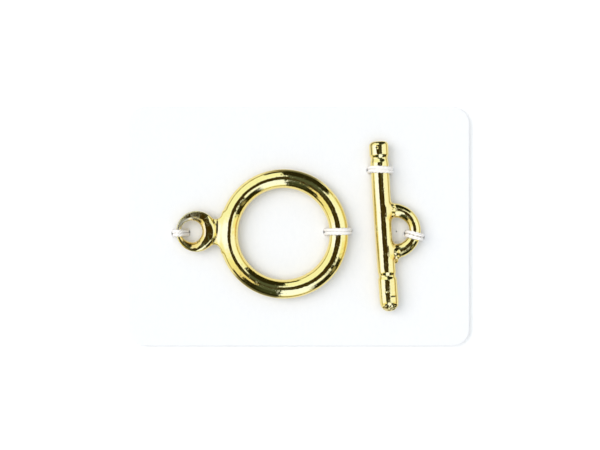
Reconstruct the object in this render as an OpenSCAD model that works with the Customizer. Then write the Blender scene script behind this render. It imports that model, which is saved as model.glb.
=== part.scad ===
// Toggle clasp on its card: a ring with a linking eye, and a bar with a half-round loop.
// Both are gold-plated castings. They lie flat on a small white card that is pierced for
// four thread ties, which hold the pair down at the eye, the ring, the bar and the loop.
// The origin is the middle of the card's underside. X runs along the card from the ring
// towards the bar, Y runs up the card along the bar, and Z stands up from the card.

/* [Ring] */
// Outside diameter of the ring
ring_od = 15; // [12:0.5:20]
// Thickness of the ring's round wire
ring_wire = 2.2; // [1.6:0.1:2.8]
// How far the ring's middle lies below the bar's middle
ring_drop = 0.87; // [0:0.01:2]

/* [Eye] */
// Outside diameter of the eye
eye_od = 4.7; // [4.4:0.1:6]
// Thickness of the eye, along Z
eye_t = 1.4; // [1:0.1:1.6]
// Diameter of the eye's hole, which takes a jump ring
eye_hole_d = 2.5; // [1.5:0.05:2.7]
// How far the hole lies off the eye's middle, away from the ring
eye_hole_shift = 0.6; // [0:0.05:0.7]
// Width of the bevel at each mouth of the hole
eye_bevel = 0.3; // [0.1:0.05:0.4]
// Turn of the eye round the ring's middle, up from the card's long axis
eye_turn = 1.65; // [-10:0.1:10]
// Gap between the ring's outside and the eye's, which the neck fills
neck_gap = 0.22; // [0.05:0.01:0.4]
// Radius of the neck's two hollow flanks
neck_fillet = 0.9; // [0.6:0.05:1.2]
// Thickness of the neck, along Z
neck_t = 1.25; // [0.8:0.05:1.35]

/* [Bar] */
// Whole length of the bar
bar_len = 19.7; // [17:0.1:26]
// Diameter of the bar's plain shaft
shaft_d = 2.1; // [1.8:0.05:2.2]
// Diameter of the knob at the bar's upper end
upper_knob_d = 2.2; // [2.1:0.02:2.6]
// Length of the upper knob
upper_knob_len = 1.5; // [1.2:0.05:2.5]
// Radius of the rounded rim at the bar's upper end
upper_rim = 0.5; // [0.2:0.02:0.7]
// Diameter of the knob at the bar's lower end
lower_knob_d = 2.18; // [2.1:0.02:2.6]
// Length of the lower knob, its dome included
lower_knob_len = 3.68; // [2.5:0.05:4.5]
// Height of the dome at the bar's lower end
dome_h = 0.95; // [0.5:0.05:1.5]
// Diameter at the bottom of the groove beside each knob
groove_d = 1.92; // [1.5:0.02:1.98]
// Length of each groove along the bar
groove_len = 0.9; // [0.5:0.02:1.4]
// Clear space between the ring and the bar's shaft
bar_gap = 3.13; // [2.4:0.05:6]
// Lean of the bar on the card, its upper end towards the ring
bar_lean = 3.98; // [0:0.02:6]

/* [Loop] */
// Outside diameter of the loop on the bar
loop_od = 6.4; // [5.6:0.1:7.4]
// Thickness of the loop's wire
loop_wire = 1.4; // [1:0.05:1.6]
// How far the loop's middle stands out from the bar's axis
loop_out = 0.98; // [0.6:0.02:1.4]
// How far the loop's middle lies below the bar's middle
loop_drop = 0.6; // [0:0.05:2]
// Radius of the solder fillets on both sides of each leg's foot
foot_fillet = 0.6; // [0.3:0.05:0.7]
// Thickness of that solder, along Z
foot_t = 1.2; // [0.6:0.05:1.3]

/* [Card] */
// Thickness of the card
card_t = 1; // [0.8:0.1:2]
// Bare card at the left and right of the clasp
side_margin = 5.86; // [3:0.01:20]
// Bare card above and below the bar
end_margin = 4.15; // [3:0.01:20]
// Radius of the card's corners
card_corner = 2; // [0.5:0.25:3]
// Gap between the card and the metal that lies on it
seat_gap = 0.03; // [0.02:0.01:0.1]
// Diameter of the small prick in the card inside the loop
prick_d = 0.36; // [0.2:0.02:0.6]

/* [Thread ties] */
// Diameter of one strand of the thread, two of which lie side by side
thread_d = 0.44; // [0.3:0.02:0.6]
// Play of the two strands in each needle hole
hole_ease = 0.04; // [0.02:0.01:0.2]
// Clear depth left under the strands' back run
slot_spare = 0.06; // [0.02:0.01:0.15]
// Reach of the eye's tie past the eye's wall, outside it
eye_tie_out = 0.45; // [0.3:0.01:1.5]
// Reach of the eye's tie past the eye's wall, inside the hole
eye_tie_in = 0.7; // [0.5:0.01:1]
// Reach of the ring's tie past the wire, outside the ring
ring_tie_out = 0.22; // [0.2:0.01:0.9]
// Reach of the ring's tie past the wire, inside the ring
ring_tie_in = 0.4; // [0.2:0.01:1.5]
// Distance of the bar's tie from the bar's upper end
bar_tie_at = 3.29; // [3:0.01:5]
// Reach of the bar's tie past the shaft, on both sides
bar_tie_out = 0.22; // [0.2:0.01:0.8]
// Reach of the loop's tie past the wire, outside the loop
loop_tie_out = 0.35; // [0.2:0.01:1.2]
// Reach of the loop's tie past the wire, inside the loop
loop_tie_in = 0.15; // [0.1:0.01:0.4]

/* [Hidden] */
$fn = 64;
gold = [0.93, 0.77, 0.32];
white_card = [0.96, 0.96, 0.95];
// Steps along each rounded stretch of an outline
steps = 6;
// Excess of a cut past the face that it opens
over = 0.5;
// Depth that a hollow flank of solder runs in below the wire or disc that it meets
solder_sink = 0.1;

ring_r = ring_od / 2;
ring_mid_r = (ring_od - ring_wire) / 2;
eye_r = eye_od / 2;
eye_hole_r = eye_hole_d / 2;
eye_reach = ring_r + neck_gap + eye_r;
shaft_r = shaft_d / 2;
loop_mid_r = (loop_od - loop_wire) / 2;

// Room that the clasp takes to the left and to the right of the ring's middle
room_left = ring_r + neck_gap + eye_od;
room_right = ring_r + bar_gap + shaft_r + loop_out + loop_od / 2;
card_l = room_left + room_right + 2 * side_margin;
card_w = max(bar_len, ring_od + 2 * ring_drop) + 2 * end_margin;

// Places of the two castings on the card
ring_x = (room_left - room_right) / 2;
bar_x = ring_x + ring_r + bar_gap + shaft_r;
ring_z = card_t + seat_gap + ring_wire / 2;
bar_z = card_t + seat_gap + max(upper_knob_d, lower_knob_d, shaft_d) / 2;
ring_place = [ring_x, -ring_drop, ring_z];
bar_place = [bar_x, 0, bar_z];

// Sizes of the cuts that take the thread
hole_d = 2 * thread_d + hole_ease;
slot_w = 2 * thread_d;
slot_depth = thread_d + slot_spare;

// Turns of the ties, each square to the wire that it crosses
eye_tie_turn = 187;
ring_tie_turn = 2.5;
loop_tie_turn = -12 - bar_lean;
bar_tie_skew = -5;
// Place of the prick from the loop's middle, along and across the loop
prick_from_loop = [0.44, -0.1];

// Half the eye's wall on its far side from the ring, where the tie crosses it
eye_wall = (eye_r - eye_hole_r - eye_hole_shift) / 2;

// Points of a circle's stretch round a middle, from one angle to another
function arc(middle, r, from, to) =
    [for (i = [0 : steps]) let (a = from + (to - from) * i / steps) middle + r * [cos(a), sin(a)]];

// Points of a soft slope between two radii, level at both ends
function slope(r0, r1, y0, y1) =
    [for (i = [0 : steps]) let (u = i / steps) [r0 + (r1 - r0) * (1 - cos(180 * u)) / 2, y0 + (y1 - y0) * u]];

// Half outline of the turned bar, as radius and height above its lower tip
function bar_outline() =
    let (
        groove_r = groove_d / 2,
        half_groove = groove_len / 2,
        upper_r = upper_knob_d / 2,
        lower_r = lower_knob_d / 2,
        upper_y = bar_len - upper_knob_len,
        dome = [for (i = [0 : steps]) let (a = 90 * i / steps) [lower_r * sin(a), dome_h * (1 - cos(a))]]
    )
    concat(
        dome,
        slope(lower_r, groove_r, lower_knob_len, lower_knob_len + half_groove),
        slope(groove_r, shaft_r, lower_knob_len + half_groove, lower_knob_len + groove_len),
        slope(shaft_r, groove_r, upper_y - groove_len, upper_y - half_groove),
        slope(groove_r, upper_r, upper_y - half_groove, upper_y),
        arc([upper_r - upper_rim, bar_len - upper_rim], upper_rim, 0, 90),
        [[0, bar_len]]
    );

// One tie of the pair of strands: where it crosses the metal, its turn, and its reach each way
module tie_cuts(place, turn, reach_back, reach_on) {
    translate(place) rotate(turn) {
        for (x = [-reach_back, reach_on])
            translate([x, 0, -over]) cylinder(d = hole_d, h = card_t + 2 * over);
        translate([-reach_back, -slot_w / 2, -over]) cube([reach_back + reach_on, slot_w, slot_depth + over]);
    }
}

// Needle holes and back runs of the eye's tie and the ring's, in the ring's own place
module ring_side_ties() {
    translate([ring_place[0], ring_place[1], 0]) {
        rotate(-eye_turn)
            translate([-eye_reach, 0, 0]) rotate(eye_tie_turn)
                tie_cuts([eye_r - eye_wall, 0, 0], 0, eye_wall + eye_tie_in, eye_wall + eye_tie_out);
        rotate(ring_tie_turn)
            tie_cuts([ring_mid_r, 0, 0], 0, ring_wire / 2 + ring_tie_in, ring_wire / 2 + ring_tie_out);
    }
}

// Needle holes and back runs of the bar's tie and the loop's, and the prick inside the loop
module bar_side_ties() {
    translate([bar_place[0], bar_place[1], 0]) rotate(bar_lean) {
        tie_cuts([0, bar_len / 2 - bar_tie_at, 0], bar_tie_skew, shaft_r + bar_tie_out, shaft_r + bar_tie_out);
        translate([loop_out, -loop_drop, 0]) {
            rotate(loop_tie_turn)
                tie_cuts([loop_mid_r, 0, 0], 0, loop_wire / 2 + loop_tie_in, loop_wire / 2 + loop_tie_out);
            translate([prick_from_loop[0], prick_from_loop[1], -over])
                cylinder(d = prick_d, h = card_t + 2 * over);
        }
    }
}

// White card with rounded corners, its needle holes, and the back runs pressed into its underside
module card() {
    half = [card_l / 2 - card_corner, card_w / 2 - card_corner];
    outline = concat(
        arc([half[0], half[1]], card_corner, 0, 90),
        arc([-half[0], half[1]], card_corner, 90, 180),
        arc([-half[0], -half[1]], card_corner, 180, 270),
        arc([half[0], -half[1]], card_corner, 270, 360)
    );
    color(white_card)
        difference() {
            linear_extrude(card_t) polygon(outline);
            ring_side_ties();
            bar_side_ties();
        }
}

// Round-edged disc of the eye, before its hole is cut
module eye_disc() {
    rim = eye_t / 2;
    rotate_extrude()
        polygon(concat([[0, -rim]], arc([eye_r - rim, 0], rim, -90, 0), arc([eye_r - rim, 0], rim, 0, 90), [[0, rim]]));
}

// Neck of solder between eye and ring: a plate whose flanks are hollowed to run into both
module neck() {
    to_eye = eye_r - solder_sink + neck_fillet;
    to_ring = ring_r - solder_sink + neck_fillet;
    along = (to_eye * to_eye - to_ring * to_ring + eye_reach * eye_reach) / (2 * eye_reach);
    aside = sqrt(to_eye * to_eye - along * along);
    flank = [along - eye_reach, aside];
    root = flank * ring_mid_r / to_ring;
    linear_extrude(neck_t, center = true)
        difference() {
            polygon([[-eye_reach, 0], flank, root, [root[0], -root[1]], [flank[0], -flank[1]]]);
            for (side = [-1, 1])
                translate([flank[0], side * flank[1]]) circle(neck_fillet);
        }
}

// Through hole of the eye with a bevelled mouth on both faces
module eye_bore() {
    land = eye_t / 2 - eye_bevel;
    cylinder(r = eye_hole_r, h = eye_t + 2 * over, center = true);
    for (flip = [0, 1])
        mirror([0, 0, flip])
            translate([0, 0, land])
                cylinder(r1 = eye_hole_r, r2 = eye_hole_r + eye_bevel + over, h = eye_bevel + over);
}

// Ring and eye, cast in one
module toggle_ring() {
    color(gold)
        translate(ring_place) rotate(-eye_turn)
            difference() {
                union() {
                    rotate_extrude() translate([ring_mid_r, 0]) circle(d = ring_wire);
                    translate([-eye_reach, 0, 0]) eye_disc();
                    neck();
                }
                translate([-eye_reach - eye_hole_shift, 0, 0]) eye_bore();
            }
}

// Half-round loop that stands on the bar's right side
module bar_loop() {
    // Half the turn that the loop's middle line makes outside the bar's axis
    half_turn = acos(-loop_out / loop_mid_r);
    translate([loop_out, -loop_drop, 0])
        rotate_extrude(angle = 2 * half_turn, start = -half_turn) translate([loop_mid_r, 0]) circle(d = loop_wire);
}

// Solder at the foot of each leg: a plate that is hollowed to run into the shaft and the loop's two sides
module loop_feet() {
    outside = loop_od / 2 - solder_sink + foot_fillet;
    inside = loop_od / 2 - loop_wire + solder_sink - foot_fillet;
    away = shaft_r - solder_sink + foot_fillet - loop_out;
    outer = [away, sqrt(outside * outside - away * away)];
    inner = [away, sqrt(inside * inside - away * away)];
    shaft_x = shaft_r / 2 - loop_out;
    leg = [
        [shaft_x, inner[1]], inner, inner * loop_mid_r / inside,
        outer * loop_mid_r / outside, outer, [shaft_x, outer[1]]
    ];
    translate([loop_out, -loop_drop, 0])
        for (side = [0, 1])
            mirror([0, side, 0])
                linear_extrude(foot_t, center = true)
                    difference() {
                        polygon(leg);
                        translate(outer) circle(foot_fillet);
                        translate(inner) circle(foot_fillet);
                    }
}

// Turned bar with its knobs, grooves and loop, cast in one
module toggle_bar() {
    color(gold)
        translate(bar_place) rotate(bar_lean) {
            translate([0, -bar_len / 2, 0]) rotate([-90, 0, 0]) rotate_extrude() polygon(bar_outline());
            bar_loop();
            loop_feet();
        }
}

card();
toggle_ring();
toggle_bar();
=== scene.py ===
# %% [markdown]
# # A gold-plated toggle clasp sewn to a white card
#
# The real thing is jeweller's stock: a ring with a linking eye and a knobbed bar with a
# half-round loop, cast in base metal, polished and plated with gold. Four ties of white
# thread hold the pair down on a card.
#
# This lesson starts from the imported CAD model, dresses its three solids with finer
# surfaces, sews the ties, and then builds the light, which is most of the look of a mirror.

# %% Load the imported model
import itertools
import math

import bmesh
import bpy
import numpy as np
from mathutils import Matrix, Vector


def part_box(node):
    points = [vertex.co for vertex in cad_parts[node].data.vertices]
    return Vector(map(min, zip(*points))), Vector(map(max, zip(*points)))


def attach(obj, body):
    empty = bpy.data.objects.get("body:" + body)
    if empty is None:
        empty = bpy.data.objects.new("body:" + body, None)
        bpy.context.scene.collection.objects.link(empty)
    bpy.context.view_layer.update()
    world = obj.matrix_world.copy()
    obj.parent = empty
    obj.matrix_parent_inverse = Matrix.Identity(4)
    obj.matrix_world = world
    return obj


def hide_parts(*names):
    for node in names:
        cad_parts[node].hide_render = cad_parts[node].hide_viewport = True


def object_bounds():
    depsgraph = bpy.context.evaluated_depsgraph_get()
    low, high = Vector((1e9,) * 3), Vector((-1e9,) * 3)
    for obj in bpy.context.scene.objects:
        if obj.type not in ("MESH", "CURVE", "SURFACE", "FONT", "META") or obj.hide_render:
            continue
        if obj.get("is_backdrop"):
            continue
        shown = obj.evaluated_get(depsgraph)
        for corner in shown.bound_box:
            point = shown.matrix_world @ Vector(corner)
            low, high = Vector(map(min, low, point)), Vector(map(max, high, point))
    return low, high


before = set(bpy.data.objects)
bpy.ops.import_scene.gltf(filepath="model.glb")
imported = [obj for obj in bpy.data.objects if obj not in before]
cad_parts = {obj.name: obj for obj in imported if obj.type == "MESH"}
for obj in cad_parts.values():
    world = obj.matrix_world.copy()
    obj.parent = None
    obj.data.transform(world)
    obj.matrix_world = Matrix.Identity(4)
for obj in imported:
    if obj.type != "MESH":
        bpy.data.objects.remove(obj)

cad_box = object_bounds()
for solid in ("card", "toggle_ring", "toggle_bar"):
    low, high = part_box(solid)
    print(solid, "in mm:", [round(v * 1000, 2) for v in (*low, *high)])

# %% [markdown]
# ## Sizes and places
#
# The clasp is measured in millimetres, as a jeweller would, and turned into metres only
# when a mesh is made. The places are those of the CAD model: the middle of the ring, the
# middle of the bar, and the height of both above the card's underside.

# %% Sizes and places in millimetres
MM = 0.001
CARD_T = 1.0
RING_PLACE = np.array([-1.72, -0.87, 2.13])
RING_TURN = math.radians(-1.65)
BAR_PLACE = np.array([9.96, 0.0, 2.13])
BAR_LEAN = math.radians(3.98)


def turned(points, angle):
    """Turn points or plane directions about Z."""
    out = np.array(points, dtype=float)
    x, y = out[..., 0].copy(), out[..., 1].copy()
    out[..., 0] = math.cos(angle) * x - math.sin(angle) * y
    out[..., 1] = math.sin(angle) * x + math.cos(angle) * y
    return out


# %% [markdown]
# ## The camera
#
# The photograph looks straight down on the card from close by, so the camera hangs over
# the middle of the picture. Lens and height go together: the frame has to be 69.5 mm wide
# at the level of the metal, and a camera this near sees the dark line on the bar a little
# beside its axis, as the photograph does.

# %% Hang the camera
FRAME_WIDTH = 69.5
CAMERA_RISE = 125.0
METAL_LEVEL = 2.13
PICTURE_MIDDLE = (0.17, 0.16)


def link_object(name, data):
    made = bpy.data.objects.new(name, data)
    bpy.context.scene.collection.objects.link(made)
    return made


camera_data = bpy.data.cameras.new("clasp_camera")
camera_data.sensor_width = 36.0
camera_data.lens = camera_data.sensor_width * CAMERA_RISE / FRAME_WIDTH
camera_data.clip_start = 0.005
camera = link_object("clasp_camera", camera_data)
camera.location = Vector((*PICTURE_MIDDLE, METAL_LEVEL + CAMERA_RISE)) * MM
bpy.context.scene.camera = camera
print("lens", round(camera_data.lens, 1), "mm, camera", CAMERA_RISE, "mm above the metal")

# %% [markdown]
# ## Node helpers
#
# Every finish here is a node tree. Short helpers keep the trees readable: they add a node,
# feed its sockets from values or from other sockets, and wrap the nodes that turn up
# again and again, such as sums, noise and ramps.

# %% Add a node and feed its sockets
def add_node(tree, kind, **settings):
    made = tree.nodes.new(kind)
    for name, value in settings.items():
        setattr(made, name, value)
    return made


def feed(tree, socket, value):
    if isinstance(value, bpy.types.NodeSocket):
        tree.links.new(value, socket)
    else:
        socket.default_value = value


def plug(tree, node, **values):
    """Feed sockets by their titles, with _ for a space, and return the node's outputs."""
    for title, value in values.items():
        feed(tree, node.inputs[title.replace("_", " ")], value)
    return node.outputs


# %% Sums, noise and mixed colours
def calc(tree, operation, *values, clamp=False):
    made = add_node(tree, "ShaderNodeMath", operation=operation, use_clamp=clamp)
    for socket, value in zip(made.inputs, values):
        feed(tree, socket, value)
    return made.outputs[0]


def soft_step(tree, value, start, end):
    made = add_node(tree, "ShaderNodeMapRange", interpolation_type="SMOOTHSTEP")
    for socket, given in zip(made.inputs, (value, start, end, 0.0, 1.0)):
        feed(tree, socket, given)
    return made.outputs[0]


def noise(tree, vector, scale, detail=2.0, roughness=0.5, distortion=0.0):
    made = add_node(tree, "ShaderNodeTexNoise")
    return plug(tree, made, Vector=vector, Scale=scale, Detail=detail, Roughness=roughness,
                Distortion=distortion)["Fac"]


def mix_colour(tree, share, first, second, blend="MIX"):
    made = add_node(tree, "ShaderNodeMix", data_type="RGBA", blend_type=blend)
    feed(tree, made.inputs["Factor"], share)
    feed(tree, made.inputs[6], first)
    feed(tree, made.inputs[7], second)
    return made.outputs[2]


# %% Directions, and colours by direction
def split(tree, vector):
    made = add_node(tree, "ShaderNodeSeparateXYZ")
    feed(tree, made.inputs[0], vector)
    return made.outputs


def length_of(tree, x, y):
    squares = calc(tree, "ADD", calc(tree, "MULTIPLY", x, x), calc(tree, "MULTIPLY", y, y))
    return calc(tree, "SQRT", squares)


def turn_of(tree, x, y, ragged=0.0):
    """Angle of a direction as a share of the full turn, from 0 to 1."""
    share = calc(tree, "DIVIDE", calc(tree, "ARCTAN2", y, x), 2 * math.pi)
    return calc(tree, "FRACT", calc(tree, "ADD", calc(tree, "ADD", share, 1.0), ragged))


def by_turn(tree, turn, stops):
    """Colour from a ramp round the full turn, with stops in degrees. The first is at 0."""
    made = add_node(tree, "ShaderNodeValToRGB")
    elements = made.color_ramp.elements
    elements.remove(elements[-1])
    elements[0].color = (*stops[0][1], 1.0)
    for degrees, colour in stops[1:]:
        elements.new(degrees / 360).color = (*colour, 1.0)
    return plug(tree, made, Fac=turn)["Color"]


# %% [markdown]
# ## Growing a skin over a distance formula
#
# A casting is not a set of cylinders: solder runs into every corner, edges are polished
# round, and a mirror shows each kink. Booleans leave hard seams, and a voxel remesh
# leaves steps in the reflections. So each casting is written as a formula for the distance
# from any point to the metal, where two forms can be joined with a soft fillet. A grid
# finds the cells that the surface crosses, one vertex is put in each, and Newton steps
# draw the vertices onto the surface. The formula's slope gives exact normals, so the
# reflections run smoothly over a mesh of moderate size.

# %% Distance tools
def soft_union(a, b, fillet):
    share = np.maximum(fillet - np.abs(a - b), 0.0) / fillet
    return np.minimum(a, b) - share * share * fillet / 4


def soft_cut(a, b, fillet):
    return -soft_union(-a, -b, fillet)


def rounded(side, lift, rounding):
    """Distance to a solid with a rounded edge between its side and its top."""
    outside = np.hypot(np.maximum(side, 0.0), np.maximum(lift, 0.0))
    return outside + np.minimum(np.maximum(side, lift), 0.0) - rounding


def slope_of(distance, points, reach=0.003):
    rises = [distance(points + step) - distance(points - step) for step in np.eye(3) * reach]
    return np.stack(rises, axis=1) / (2 * reach)


def settle(distance, points, rounds):
    for _ in range(rounds):
        slope = slope_of(distance, points)
        points = points - (distance(points) / (slope * slope).sum(axis=1))[:, None] * slope
    return points


# %% Grow the skin
def skin(distance, low, high, step):
    """Vertices and quads of the surface where the distance is zero."""
    counts = [int((b - a) / step) + 2 for a, b in zip(low, high)]
    axes = [a + step * np.arange(n) for a, n in zip(low, counts)]
    samples = np.stack(np.meshgrid(*axes, indexing="ij"), axis=-1)
    solid = distance(samples.reshape(-1, 3)).reshape(counts) < 0
    filled = sum(solid[i:counts[0] - 1 + i, j:counts[1] - 1 + j, k:counts[2] - 1 + k].astype(int)
                 for i, j, k in itertools.product((0, 1), repeat=3))
    crossed = (filled > 0) & (filled < 8)
    number = np.full(crossed.shape, -1)
    number[crossed] = np.arange(crossed.sum())
    points = (np.argwhere(crossed) + 0.5) * step + np.array(low)
    quads = []
    for order in ((0, 1, 2), (1, 2, 0), (2, 0, 1)):
        inside, label = solid.transpose(order), number.transpose(order)
        near, far = inside[:-1, 1:-1, 1:-1], inside[1:, 1:-1, 1:-1]
        for mask, way in ((near & ~far, 1), (~near & far, -1)):
            i, j, k = np.nonzero(mask)
            corners = [label[i, j, k], label[i, j + 1, k], label[i, j + 1, k + 1], label[i, j, k + 1]]
            quads.append(np.stack(corners, axis=1)[:, ::way])
    quads = np.concatenate(quads)
    points = settle(distance, points, 4)
    for _ in range(3):
        points = settle(distance, relaxed(points, quads), 2)
    return points, quads


def relaxed(points, quads):
    """Each vertex half way to the mean of its neighbours, which evens out the quads."""
    total, count = np.zeros_like(points), np.zeros(len(points))
    for corner in range(4):
        here, there = quads[:, corner], quads[:, (corner + 1) % 4]
        for a, b in ((here, there), (there, here)):
            count += np.bincount(a, minlength=len(points))
            for axis in range(3):
                total[:, axis] += np.bincount(a, weights=points[b, axis], minlength=len(points))
    return 0.5 * points + 0.5 * total / count[:, None]


# %% [markdown]
# ## From numbers to a Blender object
#
# Points stay in millimetres until one function turns them into a mesh in metres. A casting
# is grown about its own middle, and then laid in its place on the card.

# %% Make an object
def make_piece(name, points, faces, normals=None, smooth=True):
    mesh = bpy.data.meshes.new(name)
    mesh.from_pydata((np.asarray(points) * MM).tolist(), [], np.asarray(faces).tolist())
    mesh.polygons.foreach_set("use_smooth", [smooth] * len(mesh.polygons))
    if normals is not None:
        mesh.normals_split_custom_set_from_vertices(normals.tolist())
    print(name, len(mesh.vertices), "vertices", len(mesh.polygons), "faces")
    return link_object(name, mesh)


def unit(rows):
    return rows / np.linalg.norm(rows, axis=1)[:, None]


def make_casting(name, distance, low, high, step, place, turn):
    points, quads = skin(distance, low, high, step)
    normals = unit(slope_of(distance, points))
    made = make_piece(name, turned(points, turn) + place, quads, turned(normals, turn))
    return made, points


# %% [markdown]
# ## Hand-polished metal is never quite true
#
# Tumbling and buffing leave swells a few hundredths of a millimetre high. They could be a
# bump texture, but a swell of this length also moves the outline of a reflection, so it
# belongs in the form: a few long waves are added to the distance itself. The waves come
# from a seeded generator, so each run is the same.

# %% Swells left by polishing
def polish_swell(seed, height, length, count=7):
    dice = np.random.default_rng(seed)
    ways = unit(dice.normal(size=(count, 3)))
    ways *= 2 * math.pi / (length * dice.uniform(0.7, 1.5, count))[:, None]
    phases = dice.uniform(0, 2 * math.pi, count)

    def swell(points):
        return height * np.sin(points @ ways.T + phases).sum(axis=1) / math.sqrt(count)

    return swell


# %% [markdown]
# ## The ring and its linking eye
#
# The ring is a torus of round wire, buffed a little flat on top. A table says how far the
# buff has moved its crest at each angle, and the dark line that the metal mirrors there
# follows it. The eye is a flat disc whose hole sits off its middle, so its outer wall is
# thin. A second table says how round its edge and how wide the hole's bevel is at each
# angle, as a file held by hand leaves them. A short neck with hollow flanks joins ring
# and eye. In the formula it is a plate between the circles of its flanks, and it runs
# into both neighbours with a soft union. A short seam stays open where the eye was
# soldered on. The hole is cut last, softly, which rolls its edges as polishing does.

# %% Sizes of the ring, the eye and the neck
RING_MID = 6.4
WIRE_R = 1.1
WIRE_CROWN = 0.95
BLUNT = 2.22
BLUNT_SWING = 0.2
EYE_R = 2.35
EYE_HALF = 0.7
EYE_CROWN = 0.012
EYE_REACH = 10.07
HOLE_R = 1.25
HOLE_SHIFT = 0.6
NECK_R = 0.86
NECK_HALF = 0.46
NECK_RISE = 0.25
NECK_CROWN = 0.04
NECK_START = 1.5
NECK_END = RING_MID + 0.55
NECK_EDGE = 0.2
INTO_RING = 0.4
INTO_EYE = 0.12
SINK = 0.06
EYE_SIDE = -7.9
EYE_SIDE_FADE = 0.4
SEAM_X = EYE_R - EYE_REACH + 0.02
SEAM_Y = 0.55
SEAM_Z = 0.34
SEAM_HALF = 0.45
SEAM_R = 0.067
SEAM_TAPER = 0.12
SEAM_EDGE = 0.05

# %% What hand work has left on them
# Angle round the ring in degrees, and how far the buff has moved its crest outwards there
CREST = np.array([
    (0, -0.04), (20, -0.05), (40, -0.03), (95, 0.0), (120, -0.04), (145, -0.05), (160, -0.10),
    (178, -0.15), (195, -0.07), (230, -0.03), (275, 0.0), (298, 0.08), (330, 0.11), (345, 0.01),
    (360, -0.04),
])
# Angle round the eye in degrees, rounding of its outer edge there, width of the hole's bevel
EYE_EDGES = np.array([
    (0, 0.42, 0.62), (35, 0.56, 0.68), (50, 0.30, 0.74), (62, 0.12, 0.76), (90, 0.10, 0.62),
    (135, 0.13, 0.30), (180, 0.14, 0.20), (225, 0.12, 0.58), (250, 0.14, 1.00), (272, 0.20, 1.15),
    (300, 0.44, 0.70), (325, 0.50, 0.66), (340, 0.38, 0.64), (360, 0.42, 0.62),
])

ring_swell = polish_swell(11, height=0.005, length=3.2)
eye_swell = polish_swell(23, height=0.007, length=1.0)


# %% Section of the wire and flank of the neck
def by_angle(table, column, degrees):
    return np.interp(degrees % 360, table[:, 0], table[:, column])


def wire_section(across, z, turn):
    """Distance to the ring's wire, whose upper side is buffed a little flat."""
    crown = np.where(z > 0, z / WIRE_CROWN, z)
    across = across - by_angle(CREST, 1, np.degrees(turn)) * np.maximum(z, 0.0)
    blunt = np.where(z > 0, BLUNT + BLUNT_SWING * np.cos(turn), 2.0)
    return (np.abs(across) ** blunt + np.abs(crown) ** blunt) ** (1 / blunt) - WIRE_R


def neck_flank():
    """Middle of the upper flank's circle, which touches the eye and the ring."""
    to_eye, to_ring = EYE_R - SINK + NECK_R, RING_MID + WIRE_R - SINK + NECK_R
    along = (to_eye ** 2 - to_ring ** 2 + EYE_REACH ** 2) / (2 * EYE_REACH)
    return along - EYE_REACH, math.sqrt(to_eye ** 2 - along ** 2)


# %% Formula of the ring
def ring_distance(points):
    x, y, z = points.T
    from_ring = np.hypot(x, y)
    wire = wire_section(from_ring - RING_MID, z, np.arctan2(y, x))
    from_eye = np.hypot(x + EYE_REACH, y)
    turn = np.degrees(np.arctan2(y, x + EYE_REACH))
    rounding = by_angle(EYE_EDGES, 1, turn)
    bevel = by_angle(EYE_EDGES, 2, turn)
    lift = np.abs(z) + EYE_CROWN * from_eye ** 2 - EYE_HALF
    eye = rounded(from_eye - EYE_R + rounding, lift + rounding, rounding)
    flank_x, flank_y = neck_flank()
    flanks = NECK_R - np.hypot(x - flank_x, np.abs(y) - flank_y)
    ends = [NECK_END - from_ring, NECK_START - x - EYE_REACH, x + RING_MID]
    plate = np.maximum.reduce([flanks, np.abs(y) - flank_y, *ends])
    rise = NECK_HALF + NECK_RISE * (x + EYE_REACH - EYE_R) - NECK_CROWN * y * y
    neck = soft_cut(plate, np.abs(z) - rise, NECK_EDGE)
    joined = soft_union(soft_union(neck, wire, INTO_RING), eye, INTO_EYE)
    taper = SEAM_TAPER * np.maximum(np.abs(y - SEAM_Y) - SEAM_HALF, 0.0)
    seam = np.hypot(x - SEAM_X, np.minimum(z - SEAM_Z, 0.0)) - SEAM_R + taper
    joined = soft_cut(joined, -seam, SEAM_EDGE)
    hole = HOLE_R - np.hypot(x + EYE_REACH + HOLE_SHIFT, y)
    on_eye = np.clip(EYE_SIDE - x, 0.0, EYE_SIDE_FADE) / EYE_SIDE_FADE
    return soft_cut(joined, hole, bevel) + ring_swell(points) + on_eye * eye_swell(points)


# %% Grow the ring
ring_casting, ring_points = make_casting(
    "ring_casting", ring_distance, (-12.7, -7.8, -1.35), (7.8, 7.8, 1.35), 0.09, RING_PLACE, RING_TURN)

# %% [markdown]
# ## The bar and its half-round loop
#
# The bar is turned work: a plain shaft with a shallow groove beside each knob, a rounded
# rim at its upper end and a dome at its lower one. So its radius is written as a function
# of the height. Casting and finishing have left marks that a mirror shows: the shaft bows
# a little, it is filed thinner between the loop's feet, its buffed crest drifts across it,
# a nick and two pits are left in the knobs, and the lower tip is crumbly. The loop is a
# part of a smaller torus, thicker at its legs, and there most on the inner side, where
# solder runs out onto the shaft. Frozen drops of solder sit beside its feet.

# %% Sizes of the bar and its loop
BAR_HALF = 9.85
BUFFED = 2.5
CREST_SHIFT = 0.055
CREST_DRIFT = 0.008
SHAFT_R = 1.05
GROOVE_R = 0.96
UPPER_KNOB_R = 1.1
UPPER_RIM = 0.5
LOWER_KNOB_R = 1.09
DOME_H = 1.12
LOOP_PLACE = np.array([0.98, -0.6])
LOOP_MID = 2.5
LOOP_WIRE_R = 0.67
LOOP_START = 0.55
LEG_SOLDER = 0.13
INNER_SOLDER = 0.38
FOOT_FILLET = 0.42
DROP_FILLET = 0.15
BOW = 0.10
BOW_EVEN = 0.04
FILED = 0.12
FILED_HALF = 1.5
FILED_FROM = 0.2
FILED_FADE = 0.6

# %% Knobs, solder and the marks of the work
# Heights above the lower tip at which the radius changes, and the radius there
BAR_STATIONS = [
    (3.68, LOWER_KNOB_R), (4.13, GROOVE_R), (4.58, SHAFT_R),
    (17.2, SHAFT_R), (17.74, GROOVE_R), (18.2, UPPER_KNOB_R),
]
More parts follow.
